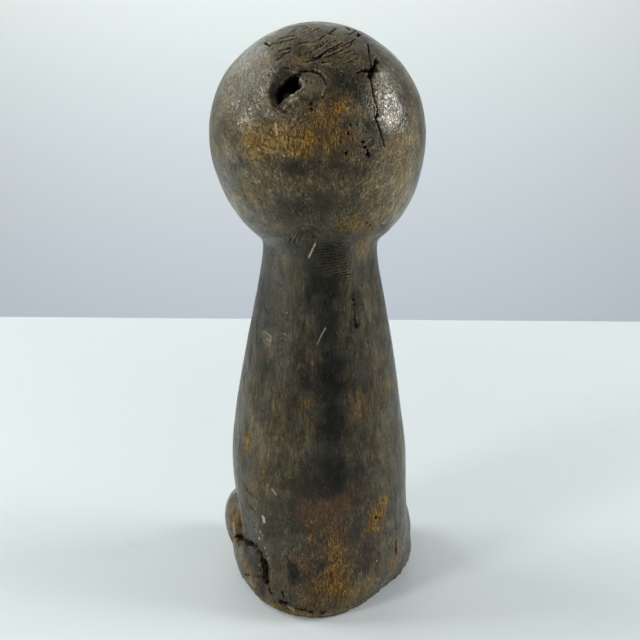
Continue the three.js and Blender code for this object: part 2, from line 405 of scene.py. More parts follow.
FINE_SLITS = 26
chance = np.random.default_rng(7)
fine_slits = []
for _ in range(FINE_SLITS):
    across, up = chance.uniform(-12, 19), chance.uniform(253, 267.5)
    long, rise = chance.uniform(1.2, 4.2), chance.uniform(0.15, 0.6)
    line = [(across, up), (across - long / 2, up + rise * long / 3), (across - long, up + rise * long)]
    if abs(up - 253) > 3 or abs(across - 4) > 12:
        fine_slits.append((line, chance.uniform(0.32, 0.5), chance.uniform(0.5, 1.0)))
split = [(drawn(*places), half_width, depth) for places, half_width, depth in CRACKS + SLITS + fine_slits]
refine_along([line for line, *_ in split], 0.9)
refine_along([line for line, half_width, _ in split if half_width > 0.6], 1.3)
cut(split)

# Insect holes and small pits: beetles bored into the head, most of them beside the long crack, and the
# neck and the base have a few. Each is given as (across, up), half width and depth.
PITS = [
    ((32.7, 236.2), 0.6, 1.0), ((3.6, 239.6), 0.8, 1.2), ((3.5, 237.5), 0.7, 1.2),
    ((-1.1, 242.1), 0.45, 0.8), ((-6.4, 241.5), 0.4, 0.7), ((-11.5, 227.5), 0.7, 1.4),
    ((-8.8, 224.1), 0.7, 1.3), ((-10.8, 219.4), 0.9, 1.6), ((-17.7, 223.6), 0.8, 1.2),
    ((-18.6, 221.6), 1.0, 1.6), ((-19.6, 220.2), 0.9, 1.6), ((-20.2, 218.3), 1.2, 2.2),
    ((-19.2, 218.2), 0.9, 1.6), ((-13.5, 225.3), 0.5, 0.8), ((-36.8, 232.8), 0.6, 0.9),
    ((-21.7, 185.6), 0.9, 1.3), ((-27.0, 184.4), 0.7, 0.9), ((-19.9, 187.3), 0.6, 0.8),
    ((29.9, 185.6), 0.5, 0.8), ((25.5, 176.9), 0.6, 0.9), ((-26.3, 45.8), 0.9, 1.6),
    ((-28.0, 45.2), 0.5, 0.8), ((-15.0, 149.8), 0.9, 1.0), ((-15.2, 147.6), 0.6, 0.8),
    ((-17.6, 140.7), 0.5, 0.5), ((-12.3, 231.0), 0.6, 0.8), ((-36.9, 23.6), 0.8, 1.0),
]
holes = [(drawn(place), half_width, depth) for place, half_width, depth in PITS]
refine_along([line for line, *_ in holes], 0.8)
cut(holes)

# Folded left leg: the blade left a deep undercut between thigh and foot, and a groove that parts the
# foot from the trunk; the black in the undercut and the soft dark down the foot's groove and along the
# thigh's groove are painted shade. Places here are (across, back, up), because the leg is seen from the
# side, and each cut is its line, half width, depth and, where it isn't black, its darkness.
NOTCH = [
    (42.6, 6.8, 20.6), (40.6, 9.6, 21.6), (38.6, 13.2, 22.6), (36.4, 18.2, 24.0), (34.0, 23.8, 26.0),
    (32.4, 27.0, 27.2), (30.2, 30.5, 26.6),
]
FOOT_GROOVE = [
    (30.2, 30.5, 26.6), (28.1, 33.4, 24.8), (26.4, 35.6, 21.9), (25.6, 37.8, 17.5), (25.0, 39.0, 14.4),
    (24.2, 40.8, 11.4), (22.8, 42.2, 8.6),
]
THIGH_GROOVE = [
    (43.2, -8.0, 38.6), (41.6, 2.0, 39.5), (39.8, 9.0, 39.0), (39.4, 10.4, 34.0), (39.6, 9.8, 30.0),
]
LEG_CUTS = [
    (NOTCH[:2], 1.0, 1.8),
    (NOTCH[1:4], 2.4, 4.2),
    (NOTCH[3:6], 2.1, 4.4),
    (NOTCH[5:], 1.5, 2.6),
    (FOOT_GROOVE[:4], 2.6, 1.8, 0.75),
    (FOOT_GROOVE[:4], 1.1, 2.2),
    (FOOT_GROOVE[3:5], 2.0, 1.5, 0.8),
    (FOOT_GROOVE[4:], 0.9, 1.3),
    (THIGH_GROOVE, 2.2, 1.6, 0.6),
    ([(45.4, 0.0, 24.4), (44.8, 2.0, 20.0), (44.2, 3.6, 17.0)], 0.8, 1.3),
    ([(36.6, 26.5, 11.0), (33.6, 32.7, 14.4), (31.0, 35.6, 15.6), (28.0, 37.9, 16.0)], 0.55, 0.7, 0.7),
]
leg_lines = [(np.array(line), *sizes) for line, *sizes in LEG_CUTS]
refine_along([line for line, *_ in leg_lines], 1.6)
cut(leg_lines, 0.1)

# Stray cuts: where the blade or the floor nicked the hips, the base and the trunk, each given as its
# places, half width, depth and darkness.
STRAY_CUTS = [
    ([(35.2, 55.4), (33.1, 54.6), (31.6, 53.4)], 0.5, 0.5, 0.8),
    ([(33.8, 48.2), (32.2, 47.2), (30.6, 46.4)], 0.5, 0.5, 0.8),
    ([(15.9, 30.4), (14.0, 27.5), (12.6, 25.2)], 0.6, 0.4, 0.6),
    ([(14.6, 26.5), (13.0, 23.4), (11.6, 20.6)], 1.4, 0.5, 0.45),
    ([(12.0, 27.0), (9.6, 23.0)], 0.6, 0.4, 0.6),
    ([(17.6, 12.8), (17.0, 10.4)], 0.7, 0.8),
    ([(18.6, 7.4), (16.0, 7.9)], 1.4, 1.8),
    ([(11.4, 5.6), (7.0, 5.4)], 0.9, 0.9, 0.8),
    ([(5.2, 4.4), (3.6, 4.6)], 1.0, 1.0, 0.9),
    ([(-0.6, 3.8), (-2.6, 4.2)], 0.8, 0.8, 0.8),
    ([(-37.0, 28.0), (-36.6, 24.0), (-37.4, 19.4)], 0.6, 0.7),
    ([(-15.6, 140.8), (-16.6, 137.0)], 1.0, 0.8, 0.8),
    ([(1.9, 178.6), (3.6, 174.0), (5.3, 170.2)], 0.35, 0.2, 0.0),
    ([(-2.6, 138.4), (-0.4, 134.2), (1.4, 130.2)], 0.3, 0.15, 0.0),
]
stray = [(drawn(*places), *sizes) for places, *sizes in STRAY_CUTS]
refine_along([line for line, *_ in stray], 1.0)
cut(stray, 0.3)

# Pale marks: scratches that show fresh wood, the worn edges of the foot, the edges of the knot, worn and
# painted with highlight, and drops of something white on the left of the base. Each is its places, half
# width and, where it is faint, its strength. The lower lips of the larger slits in the crown are painted
# pale too, as painted highlight.
PALE_MARKS = [
    ([(2.0, 178.4), (3.6, 174.0), (5.0, 170.8)], 0.42),
    ([(-2.4, 138.0), (-0.4, 134.2), (1.2, 130.8)], 0.3, 0.7), ([(26.6, 45.6), (26.3, 43.4)], 0.9),
    ([(28.4, 37.6)], 0.6), ([(28.7, 33.6)], 0.8), ([(27.2, 36.0)], 0.4), ([(26.0, 30.2)], 0.35),
    ([(25.4, 27.8)], 0.4), ([(24.4, 26.2)], 0.35), ([(25.2, 25.0)], 0.3), ([(-27.0, 24.0)], 0.5),
    ([(-24.3, 232.4)], 0.8), ([(-23.0, 235.6), (-22.6, 234.0)], 0.4),
    ([(25.0, 132.8), (22.2, 131.4)], 0.6, 0.3), ([(24.4, 130.2), (22.6, 129.6)], 0.5, 0.3),
    ([(22.4, 61.0), (20.4, 58.8)], 0.5, 0.5), ([(18.4, 231.4), (17.6, 227.0)], 0.6, 0.7),
    ([(8.5, 249.6), (6.8, 247.6), (7.2, 245.6), (9.8, 243.5), (13.0, 242.0), (15.0, 240.6)], 0.8, 0.42),
    ([(6.8, 251.2), (3.6, 251.0), (0.8, 250.2)], 0.5, 0.25),
    ([(13.6, 239.4), (9.6, 241.6), (7.6, 243.6)], 1.2, 0.16), ([(38.9, 43.0), (38.2, 33.0)], 0.6, 0.4),
    ([(43.4, 27.5), (42.6, 23.6)], 1.4, 0.4), ([(44.0, 18.0), (42.0, 11.0)], 0.9, 0.3),
    ([(34.0, 12.4), (31.0, 10.2)], 1.0, 0.25), ([(14.8, 6.0), (12.6, 4.8)], 0.8, 0.4),
    ([(-23.0, 246.0), (-24.6, 238.4)], 0.5, 0.25),
]
LIP_HIGHLIGHT = {"below": 0.3, "half_width": 0.45, "strength": 0.2}
lip_highlights = []
for places, half_width, _ in SLITS:
    if half_width > 0.44:
        edge = [(across, up - half_width - LIP_HIGHLIGHT["below"]) for across, up in places]
        lip_highlights.append((edge, LIP_HIGHLIGHT["half_width"], LIP_HIGHLIGHT["strength"]))
pale_lines = [(drawn(*places), *sizes) for places, *sizes in PALE_MARKS + lip_highlights]
refine_along([line for line, *_ in pale_lines], 0.4)
points, _ = surface()
pale_marks = np.zeros(len(points))
for line, half_width, *strength in pale_lines:
    away = away_from(points, line) / (half_width * (1 + 0.35 * waver(points, 0.8, 51)))
    pale_marks = np.maximum(pale_marks, (1 - ramp(away, 0.5, 1.2)) * (strength[0] if strength else 1))
mark("pale_and_highlight", pale_marks)

# Nape: under the head the blade skipped, and left close level ripples beside two or three curled ones,
# whose tops are painted paler. These are in millimetres.
RIPPLES = {"across": -4, "up": 170, "height": 0.45, "pitch": 1.45}
CURLS = {"across": 5.6, "up": 178.6, "height": 0.4, "pitch": 1.7}


def on_nape(points, reach=0.0):
    """Which points lie within reach of the ripples or the curls."""
    x, y, z = points.T
    level = (abs(x - RIPPLES["across"]) < 9 + reach) & (abs(z - RIPPLES["up"]) < 12 + reach)
    curled = (abs(x - 5) < 8 + reach) & (abs(z - 181) < 6 + reach)
    return (y > 10) & (level | curled)


refine(lambda middles: on_nape(middles, 1), 0.8)
refine(lambda middles: on_nape(middles), 0.4)
points, facing = surface()
x, z = points[:, 0], points[:, 2]
behind = points[:, 1] > 10
strength = (1 - ramp(abs(x + 5.5), 5, 10)) * (1 - ramp(abs(z - 169), 7, 14)) * behind
strength *= 0.65 + 0.35 * waver(points, 4, 31)
wavy = z + 0.12 * x + 0.5 * waver(points, 8, 32)
ripples = RIPPLES["height"] * strength * np.sin(2 * math.pi * wavy / RIPPLES["pitch"])
curl = np.hypot(x - CURLS["across"] + 0.7 * waver(points, 4, 33),
                (z - CURLS["up"]) * 0.8 + 0.6 * waver(points, 3, 34))
strength = ramp(curl, 1, 3) * (1 - ramp(curl, 6, 9)) * behind * ramp(z - 178, -3, 3)
strength = CURLS["height"] * strength * (0.6 + 0.5 * waver(points, 3, 35))
ripples += strength * np.sin(2 * math.pi * curl / CURLS["pitch"])
settle(points + facing * ripples[:, None])
# The ripples' tops are painted paler.
mark("ripple_crests", ramp(ripples, 0.02, 0.3))

# Rim: the foot of the figure is worn and gritty where it has been set down for years, most of all
# behind. After that the carving is done, and nothing of it is left outside the solid's own box.
refine(lambda middles: (middles[:, 2] < 8) & (middles[:, 1] > 34), 0.8)
points, facing = surface()
low = (1 - ramp(points[:, 2], 3, 8)) * ramp(points[:, 2], 0, 1.2)
crumbs = low * (0.35 * waver(points, 1.4, 41) + 0.3 * waver(points, 3.5, 42) + 0.35)
settle(points - facing * crumbs[:, None] * ramp(points[:, 1], -45, 30)[:, None])
points, _ = surface()
settle(np.clip(points, np.array(cad_low) * 1000, np.array(cad_high) * 1000))

# Finish: bare wood under a dark skin of smoke, oil and handling. The skin is charcoal and brown, ochre
# where hands and floors have worn it through, and grey with dust or black with soot in between. Shade and
# sheen are painted into it as well: painted shade down the middle of the trunk, under the head and in
# hollows and cuts, and painted sheen and highlight on the sides and rims of the head.
CHARCOAL = (0.0105, 0.0098, 0.0066, 1)
BROWN = (0.050, 0.032, 0.009, 1)
OLIVE_GREY = (0.092, 0.077, 0.034, 1)
DARK_OCHRE = (0.082, 0.043, 0.009, 1)
BRIGHT_OCHRE = (0.33, 0.180, 0.030, 1)
RUST = (0.092, 0.036, 0.010, 1)
SOOT_AND_SHADE = (0.0062, 0.0061, 0.0062, 1)
DUST_AND_SHEEN = (0.15, 0.128, 0.058, 1)
SPECK = (0.33, 0.275, 0.155, 1)
NEAR_BLACK = (0.005, 0.0042, 0.0032, 1)
HOLE_BLACK = (0.002, 0.0018, 0.0015, 1)
PALE_WOOD_AND_HIGHLIGHT = (0.42, 0.37, 0.24, 1)
TAN = (0.17, 0.118, 0.046, 1)
OILED = (1.0, 0.95, 0.78, 1)


def painted(name, patches, side=1):
    """Keeps how strongly each point lies in uneven patches (across, up, half width, half height, strength),
    seen from the back when side is 1 and from the front when it is -1."""
    points, _ = surface()
    amount = kept(name)
    for number, (across, up, half_width, half_height, strength) in enumerate(patches):
        size = (half_width * half_height) ** 0.5
        away = np.hypot((points[:, 0] - across) / half_width, (points[:, 2] - up) / half_height)
        near = (away < 2) & (points[:, 1] * side > -8)
        some = points[near]
        away = away[near] + 0.22 * waver(some, size * 0.7, 60 + number)
        away += 0.14 * waver(some, size * 0.25, 90 + number)
        amount[near] = np.maximum(amount[near], strength * (1 - ramp(away, 0.1, 1.35)))
    mark(name, amount)


# Behind, as the wear and dirt lie there.
painted("ochre", [
    (23, 224, 15, 10, 0.85), (18, 227, 4, 7, 1.0), (6, 225, 13, 9, 0.9), (12, 230, 7, 5, 0.7),
    (0, 233, 9, 8, 0.7), (-8, 238, 7, 5, 0.9), (-5, 224, 7, 6, 0.6), (-13, 227, 5, 3, 0.6),
    (34, 225, 7, 9, 0.3), (36, 236, 5, 7, 0.3), (-34, 221, 8, 6, 0.55), (-29, 216, 7, 5, 0.4),
    (-40, 231, 3, 9, 0.35), (-36, 206, 7, 16, 0.35), (-20, 203, 9, 10, 0.3), (22, 254, 5, 3, 0.25),
    (7, 255, 5, 3, 0.4), (-10, 260, 4, 3, 0.6), (-3, 255, 3, 2, 0.3), (4, 267, 16, 4, 0.2),
    (20, 211, 12, 8, 0.35), (4, 207, 13, 6, 0.3), (-16, 187, 9, 6, 0.8), (-22, 183, 6, 6, 0.5),
    (30, 202, 7, 7, 0.35), (18, 186, 9, 4, 0.3), (8, 185, 4, 4, 0.35), (-20, 174, 5, 9, 0.45),
    (-26, 158, 4, 14, 0.25), (34, 79, 2.2, 7, 1.0), (27, 69, 3, 4, 0.6), (25, 66, 2, 4, 0.6),
    (31, 60, 5, 4, 0.4), (26, 62, 4, 4, 0.4), (20, 90, 4, 12, 0.3), (5, 103, 4, 5, 0.5),
    (-32, 105, 5, 5, 0.4), (-18, 100, 6, 12, 0.3), (-28, 48, 6, 7, 1.0), (-25, 41, 6, 2.4, 1.0),
    (-30, 52, 4, 4, 1.0), (-25, 44, 4, 4, 0.9), (-6, 38, 4, 7, 0.95), (-8, 30, 6, 8, 0.85),
    (-10, 44, 3, 3, 0.7), (4, 42, 2.2, 6, 0.6), (-8, 19, 9, 10, 0.85), (-12, 13, 6, 5, 1.0),
    (1, 16, 8, 7, 0.65), (4, 9, 14, 4, 0.45), (-21, 12, 8, 4, 0.55), (-35, 17, 3, 11, 0.65),
    (-38, 26, 2.5, 9, 0.6), (14, 16, 5, 8, 0.3), (39, 34, 3, 8, 1.0), (43, 33, 3, 7, 0.7),
    (43, 28, 3, 5, 0.95), (42, 20, 2, 8, 0.6), (35, 14, 5, 4, 0.8), (30, 10, 4, 4, 0.6),
    (6, 3, 34, 3.4, 0.85), (-16, 8, 12, 4, 0.6),
])
painted("tan", [
    (22, 255, 7, 4, 0.9), (7, 255, 6, 3, 0.7), (-3, 255, 4, 2, 0.6), (-10, 260, 7, 4, 0.6),
    (2, 267, 30, 5, 0.5), (-30, 208, 13, 18, 1.0), (-28, 192, 11, 9, 0.9), (43, 222, 5, 22, 0.6),
    (-41, 226, 4, 14, 0.7), (-31, 220, 7, 8, 0.5), (-14, 208, 12, 12, 0.3), (34, 228, 7, 9, 0.6),
    (30, 206, 10, 11, 0.5), (24, 196, 9, 8, 0.45), (20, 187, 8, 5, 0.5), (-18, 187, 8, 6, 0.6),
    (-20, 174, 7, 11, 0.8), (-24, 150, 6, 20, 0.35), (-27, 108, 9, 30, 0.35), (22, 100, 8, 24, 0.3),
    (8, 84, 8, 12, 0.4), (-31, 68, 8, 18, 0.4), (29, 82, 8, 18, 0.7), (31, 62, 7, 10, 0.7),
    (-32, 26, 10, 18, 0.6), (-22, 14, 10, 5, 0.9), (-39, 20, 4, 16, 0.8), (43, 20, 3, 9, 0.7),
    (32, 11, 5, 3, 0.8), (36, 16, 6, 7, 0.75), (30, 58, 7, 8, 0.4), (43, 27, 3, 5, 0.7),
    (43, 36, 5, 9, 0.7), (0, 200, 30, 14, 0.25), (25, 241, 8, 8, 0.3),
])
painted("polished", [
    (-27, 243, 6, 13, 1.0), (-29, 236, 6, 8, 1.0), (29, 248, 8, 10, 1.0), (31, 240, 7, 10, 1.0),
    (25, 257, 6, 4, 0.8), (21, 146, 9, 42, 0.5), (-34, 215, 8, 20, 0.4), (-5, 258, 20, 8, 0.2),
    (40, 205, 6, 20, 0.5), (-40, 200, 6, 20, 0.4),
])
painted("hammered", [
    (30, 246, 9, 12, 1.0), (26, 254, 8, 5, 0.7), (33, 234, 8, 8, 0.5), (-4, 260, 18, 8, 0.3),
    (22, 226, 14, 8, 0.4),
])
# Pale wood on the plug and round the base's rim, and painted highlight on the rims and sheens of the head.
painted("pale_and_highlight", [
    (3.0, 247.2, 6, 4.4, 0.14), (38, 189, 3, 9, 0.16), (-39, 202, 3, 14, 0.14), (-33, 186, 3, 6, 0.14),
    (-27, 239, 3, 3, 0.12), (6, 2, 30, 2.4, 0.16), (-24, 9, 14, 4, 0.06), (28, 249, 9, 10, 0.12),
    (43, 222, 6, 22, 0.09), (30, 208, 10, 14, 0.03), (30, 84, 7, 18, 0.035),
])
painted("rust", [
    (-1, 53, 16, 11, 1.0), (-12, 56, 10, 8, 0.9), (8, 30, 8, 8, 0.8), (-6, 30, 14, 18, 1.0),
    (0, 3, 28, 3.5, 1.0), (33, 18, 6, 8, 0.7), (-3, 235, 12, 8, 0.6), (2, 224, 16, 6, 0.4),
    (0, 22, 22, 22, 0.45), (-22, 30, 9, 20, 0.4), (-13, 225.5, 4, 3, 0.9), (-19, 221, 4, 4, 0.6),
    (8, 208, 22, 7, 0.5), (10, 217, 26, 4, 0.5), (-12, 218, 12, 4, 0.5), (26, 239, 5, 4, 0.35),
    (-16, 236, 4, 6, 0.4), (-14, 252, 4, 2, 0.4), (19.5, 145.7, 2, 3, 0.9), (23.6, 124, 2.2, 5, 1.0),
    (8, 120.5, 5, 1.6, 0.8), (0, 123, 5, 1.8, 0.9), (-2, 135, 3, 6, 0.4), (3, 95, 5, 8, 0.5),
    (-18, 99, 7, 12, 0.5), (-22, 105, 5, 5, 0.4), (-14, 155, 5, 5, 0.35), (33, 13, 5, 4, 0.6),
    (40, 44, 3, 8, 0.4),
])
# Soot, and painted shade: down the middle of the trunk and neck, under the head, beside the knot's hollow and
# in the thigh's hollow.
painted("soot_and_shade", [
    (11.1, 213.8, 9.5, 5.2, 0.6), (-8, 214, 6, 3, 0.5), (-3, 209, 4, 5, 0.4), (-2, 199, 9, 8, 0.5),
    (13, 195, 7, 6, 0.45), (0, 201, 17, 13, 0.22), (-10, 198, 6, 6, 0.4), (-9, 247.5, 7, 4.5, 0.5),
    (-13, 243, 6, 5, 0.35), (19.4, 243.5, 3.4, 6, 0.75), (16, 250.5, 4, 2.4, 0.3), (34, 21, 5, 5, 0.6),
    (42.4, 40, 3, 5, 0.7), (29, 18, 3, 7, 0.45), (26, 150, 6, 30, 0.35), (-34, 238, 4, 4, 0.5),
    (43, 226, 4, 16, 0.5), (38, 208, 4, 7, 0.4), (-17, 210, 6, 5, 0.3), (-3, 172, 9, 12, 0.75),
    (14, 176, 9, 8, 0.4), (15, 150, 9, 22, 0.3), (-4, 158, 9, 12, 0.9), (-4, 140, 8, 16, 0.75),
    (-5, 118, 8, 20, 0.9), (-6, 92, 8, 20, 0.85), (-7, 70, 9, 14, 0.8), (0, 66, 6, 8, 0.6),
    (6, 112, 5, 8, 0.6), (5, 152, 3, 8, 0.7), (3, 64, 14, 6, 0.5), (27, 145, 4, 16, 0.5),
    (22, 170, 6, 10, 0.35), (-16, 150, 3, 8, 0.6), (-16, 139, 3, 6, 0.6), (24, 116, 6, 8, 0.3),
    (12, 96, 4, 14, 0.35), (20, 48, 6, 16, 0.35), (12, 50, 4, 12, 0.4), (0, 28, 4, 4, 0.5),
    (12, 22, 4, 6, 0.7), (-20, 32, 6, 6, 0.4), (-22, 24, 6, 5, 0.35), (30, 22, 5, 8, 0.35),
    (-19, 70, 5, 8, 0.5), (-16, 56, 4, 3, 0.4), (16, 8, 6, 6, 0.4), (27, 26, 3, 14, 0.4),
])
# Dust, and painted sheen: on the two shining sides of the head, along its rims and on the trunk's lit flanks.
painted("dust_and_sheen", [
    (0, 264, 36, 10, 0.45), (38, 244, 8, 10, 0.5), (30, 248, 13, 13, 0.6), (42, 220, 7, 26, 0.45),
    (31, 84, 7, 18, 0.5), (26, 245, 9, 12, 0.75), (-28, 247, 7, 10, 0.6), (-28, 236, 6, 6, 0.6),
    (3.5, 246.5, 5, 5, 0.75), (8, 247, 4, 3, 0.7), (12, 242, 6, 3, 0.7), (32, 203, 12, 12, 0.6),
    (-40, 206, 8, 26, 0.75), (-30, 196, 10, 10, 0.4), (37, 190, 6, 12, 1.0), (-34, 184, 6, 10, 0.9),
    (14, 158, 8, 20, 0.55), (30, 100, 5, 14, 0.5), (20, 88, 5, 12, 0.6), (8, 82, 8, 10, 0.35),
    (-31, 90, 8, 45, 0.6), (-30, 130, 4, 7, 0.6), (-41, 72, 3, 14, 0.9), (24, 130.5, 3.4, 4, 1.0),
    (30, 64, 8, 8, 0.4), (-22, 150, 5, 20, 0.4), (-22, 16, 10, 6, 0.5), (34, 14, 6, 5, 0.5),
    (-20, 66, 6, 4, 0.4), (43, 22, 3, 8, 0.6), (44, 40, 3, 12, 0.5),
])

# In front, plainer. The raised nose, eyes, mouth and knees are painted lighter, as wear and as painted
# highlight, and the eye sockets, under the chin and the other hollows darker, as painted shade.
painted("ochre", [
    (0, 214, 5, 12, 0.6), (16, 225, 8, 4, 0.6), (-16, 225, 8, 4, 0.6), (0, 192, 8, 4, 0.7),
    (-8, 252, 16, 5, 0.4), (38, 30, 6, 10, 0.6), (-38, 26, 6, 12, 0.5), (6, 40, 16, 14, 0.5),
    (-14, 100, 5, 20, 0.4), (10, 150, 6, 14, 0.35), (0, 5, 34, 4, 0.6), (30, 205, 6, 10, 0.4),
    (-32, 210, 5, 12, 0.4),
], side=-1)
painted("tan", [
    (0, 258, 26, 10, 0.6), (0, 222, 6, 22, 0.9), (30, 240, 8, 12, 0.5), (-30, 238, 8, 12, 0.6),
    (0, 192, 10, 6, 0.6), (16, 225, 9, 5, 0.8), (-16, 225, 9, 5, 0.8), (28, 196, 10, 10, 0.6),
    (-26, 194, 12, 10, 0.6), (4, 120, 16, 50, 0.4), (36, 34, 10, 12, 0.6), (-36, 30, 10, 12, 0.7),
    (-20, 70, 8, 26, 0.5), (22, 74, 6, 22, 0.5), (0, 20, 20, 12, 0.5),
], side=-1)
painted("soot_and_shade", [
    (12, 238, 10, 6, 0.6), (-13, 237, 10, 6, 0.7), (0, 178, 22, 5, 0.7), (14, 210, 7, 7, 0.5),
    (-13, 209, 7, 7, 0.5), (-4, 140, 8, 26, 0.6), (6, 84, 7, 20, 0.6), (24, 44, 6, 14, 0.7),
    (-24, 42, 6, 14, 0.7), (0, 182, 12, 3, 0.6),
], side=-1)
painted("polished", [
    (0, 214, 5, 14, 0.8), (24, 256, 14, 8, 0.6), (-26, 254, 14, 8, 0.6), (38, 34, 6, 12, 0.5),
    (-38, 30, 6, 12, 0.5),
], side=-1)

height = surface()[0][:, 2]
mark("trunk", ramp(height, 196, 180) * ramp(height, 30, 85))
mark("body", ramp(height, 190, 178))

skin = bpy.data.materials.new("handled_dark_wood")
skin.use_nodes = True
skin.node_tree.nodes.clear()


def node(kind, inputs=None, tree=skin.node_tree, **settings):
    """Adds a node to a material's tree; each input takes a value or another node's output."""
    made = tree.nodes.new("ShaderNode" + kind)
    for name, value in settings.items():
        setattr(made, name, value)
    for socket, value in (inputs or {}).items():
        if isinstance(value, bpy.types.NodeSocket):
            tree.links.new(value, made.inputs[socket])
        else:
            made.inputs[socket].default_value = value
    return made


def over(amount, under, top):
    """The top colour laid over the one under it, by amount."""
    return node("Mix", {0: amount, 6: under, 7: top}, data_type="RGBA").outputs[2]


def mixed(amount, first, second):
    """The first value where the amount is 0 and the second where it is 1."""
    return node("Mix", {0: amount, 2: first, 3: second}).outputs[0]


def uneven(size, stretch=(1, 1, 1), detail=3.0, rough=0.55, twist=0.0, lean=0):
    """Noise with humps about size millimetres across, drawn out by stretch and leaned over by degrees."""
    place = node("TexCoord").outputs["Object"]
    scale = [size * s / 1000 for s in stretch]
    turn = (0, math.radians(lean), 0)
    laid = node("Mapping", {"Vector": place, "Rotation": turn, "Scale": scale}, vector_type="TEXTURE")
    noise = {"Vector": laid.outputs[0], "Scale": 1.0, "Detail": detail, "Roughness": rough}
    return node("TexNoise", {**noise, "Distortion": twist}).outputs[0]


def between(value, low, high, to_low=0.0, to_high=1.0):
    """A value stretched so that low and high become to_low and to_high."""
    ends = {"Value": value, 1: low, 2: high, 3: to_low, 4: to_high}
    return node("MapRange", ends, interpolation_type="SMOOTHSTEP").outputs[0]


def amount_of(name):
    return node("Attribute", attribute_name=name).outputs["Fac"]


def calc(operation, first, second=0.0, third=0.0):
    """The result of one sum on two or three values."""
    return node("Math", {0: first, 1: second, 2: third}, operation=operation).outputs[0]


def times(*values):
    """The product of some values."""
    product = values[0]
    for value in values[1:]:
        product = calc("MULTIPLY", product, value)
    return product


def largest(*values):
    """The largest of some values."""
    most = values[0]
    for value in values[1:]:
        most = calc("MAXIMUM", most, value)
    return most


def broken(name, pattern, start=0.15, end=0.85, share=0.7):
    """A painted amount broken up by a pattern, so that it shows as fibres and flecks and not as a wash."""
    return between(calc("MULTIPLY_ADD", calc("SUBTRACT", pattern, 0.5), share, amount_of(name)), start, end)


def strokes(lean, apart, width=0.9, length=5.0):
    """Short thin strokes that lean that many degrees from upright, seen from behind, in groups that are about
    that many millimetres apart."""
    line = uneven(width, (1, 1, length), detail=1, rough=0.5, twist=0.5, lean=lean)
    thin = between(calc("ABSOLUTE", calc("SUBTRACT", line, 0.5)), 0.0, 0.05, 1, 0)
    return times(thin, between(uneven(apart, detail=1), 0.46, 0.6))


def flowing(width, length, detail, rough=0.6, twist=0.6):
    """Fibres upright down the middle and the trunk, that lean outward down the two sides of the head."""
    upright, left, right = [
        uneven(width, (1, 1, length), detail, rough, twist, lean) for lean in (0, 42, -42)
    ]
    return mixed(right_side, mixed(left_side, upright, left), right)


# The grain, from the broadest pattern to the finest.
across = node("SeparateXYZ", {0: node("TexCoord").outputs["Object"]}).outputs["X"]
off_body = calc("SUBTRACT", 1.0, amount_of("body"))
left_side = times(between(across, 0.006, 0.022), off_body)
right_side = times(between(across, -0.008, -0.024), off_body)
patchy = uneven(13, (1, 1, 2.4), detail=6, rough=0.6, twist=0.4)
streaky = uneven(2.6, (1, 1, 9), detail=5, rough=0.6, twist=0.3)
blotchy = uneven(4.5, (1, 1, 2.2), detail=5, rough=0.65, twist=0.4)
cloudy = mixed(amount_of("trunk"), blotchy, streaky)
long_fibre = uneven(0.9, (1, 1, 10), detail=5, rough=0.6)
fibre = mixed(amount_of("trunk"), flowing(0.9, 3.0, 5, 0.65, 0.8), long_fibre)
fine_fibre = flowing(0.8, 6.0, 4)
fleck = uneven(1.1, (1, 1, 1.4), detail=5, rough=0.75, twist=0.8)
dimples = flowing(1.1, 2.2, 1.5, 0.5)
grit = flowing(0.36, 5.0, 1, 0.6, 1.1)
fine_grain = uneven(0.45, (1, 1, 3), detail=2, rough=0.6)
light_strokes = largest(calc("ADD", times(strokes(-40, 6.3), right_side), times(strokes(42, 8.7), left_side)),
                        times(strokes(6, 7.1), 0.8))
dark_strokes = largest(strokes(20, 9.9, 0.8, 4), strokes(-25, 11.1, 0.8, 4),
                       times(strokes(-35, 13.3, 1.5, 2.5), off_body))
cell = node("TexVoronoi", {"Vector": node("TexCoord").outputs["Object"], "Scale": 260.0})
one_in_four = between(node("SeparateColor", {0: cell.outputs["Color"]}).outputs[0], 0.72, 0.76)
dots = times(between(cell.outputs["Distance"], 0.07, 0.13, 1, 0), one_in_four)

# Its colour, laid on from the wood up: the skin, what has worn or settled on it with the painted shade and
# sheen, its shade along the fibres, and last the cuts, pores and holes, whose black is painted shade.
tone = over(between(patchy, 0.3, 0.7), CHARCOAL, BROWN)
tone = over(between(cloudy, 0.42, 0.72, 0, 0.55), tone, OLIVE_GREY)
tone = over(broken("rust", cloudy, 0.1, 1.0), tone, RUST)
tone = over(times(broken("tan", cloudy, 0.1, 1.1, 0.8), 0.75), tone, TAN)
# Dust, with painted sheen on the head's sides and rims and the trunk's flanks.
tone = over(times(broken("dust_and_sheen", cloudy, 0.1, 1.1, 0.9), 0.75), tone, DUST_AND_SHEEN)
ochre = over(between(fine_fibre, 0.32, 0.68), DARK_OCHRE, BRIGHT_OCHRE)
tone = over(broken("ochre", cloudy, 0.0, 1.05, 0.8), tone, ochre)
tone = over(times(light_strokes, calc("MULTIPLY_ADD", amount_of("trunk"), -0.35, 0.65)), tone, SPECK)
# Soot, with painted shade down the trunk, under the head and in the hollows.
tone = over(broken("soot_and_shade", cloudy, 0.0, 0.75, 0.5), tone, SOOT_AND_SHADE)
